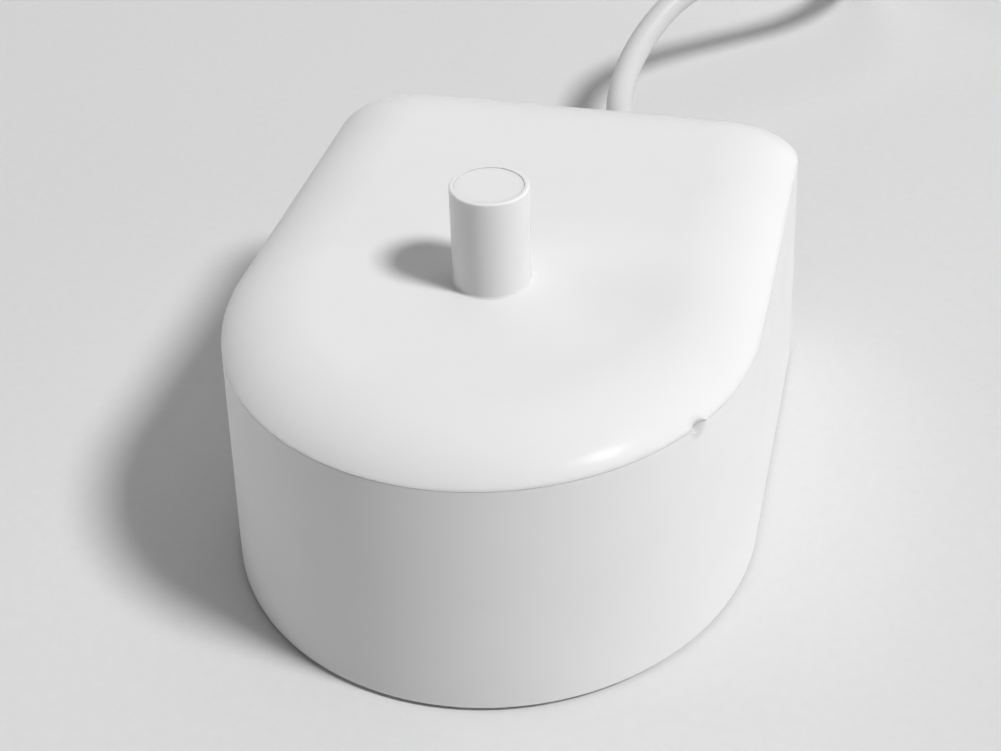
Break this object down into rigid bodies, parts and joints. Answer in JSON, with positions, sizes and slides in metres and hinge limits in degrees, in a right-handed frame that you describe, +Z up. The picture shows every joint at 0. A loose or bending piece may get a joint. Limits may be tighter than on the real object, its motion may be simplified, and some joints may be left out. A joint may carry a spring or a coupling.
{
  "type": "toothbrush charging stand",
  "caption": "Free-standing inductive charging stand for an electric toothbrush: D-shaped box with crowned lid and short round post, mains cord from its flat back.",
  "frame": {"origin": "middle of the stand's footprint, on the surface that its feet rest on", "axes": "+Z up along the charging post, -Y towards the round front, +Y towards the flat back where the cord leaves, +X to the right seen from the front"},
  "size_m": [0.0639, 0.2776, 0.0414],
  "materials": {
    "white_housing": "fine satin, moulded",
    "base_white": "satin, moulded",
    "foot_rubber": "matt",
    "cord_white": "smooth satin jacket",
    "tie_white": "satin strap",
    "blade_metal": "nickel plated",
    "pin_metal": "tinned",
    "ferrite": "matt, sintered",
    "spool_black": "satin",
    "winding_copper": "enamelled copper wire",
    "board": "bare laminate",
    "can_sleeve": "shrunk sleeve",
    "film_yellow": "moulded box",
    "film_red": "dipped",
    "moulding_black": "satin",
    "resistor_body": "coated",
    "lead_brown": "smooth",
    "lead_blue": "smooth"
  },
  "bodies": {
    "root": {"top_cover": "white_housing", "post_cap": "white_housing", "body_shell": "white_housing", "base_plate": "base_white", "rubber_feet": "foot_rubber", "ferrite_core": "ferrite", "coil_bobbin": "spool_black", "primary_coil": "winding_copper", "bobbin_pins": "pin_metal", "circuit_board": "board", "bulk_capacitor": "can_sleeve", "mains_capacitor": "film_yellow", "resonance_capacitor": "film_red", "rectifier_diodes": "moulding_black", "fusible_resistor": "resistor_body", "filter_choke": "ferrite", "switching_transistor": "moulding_black", "live_lead": "lead_brown", "neutral_lead": "lead_blue", "strain_relief": "cord_white", "cord_clamp": "base_white", "cord_inner_end": "cord_white", "mains_cord": "cord_white", "cord_coil": "cord_white", "cord_tie": "tie_white", "plug_relief": "cord_white", "plug_body": "cord_white", "plug_blades": "blade_metal"}
  },
  "joints": []
}
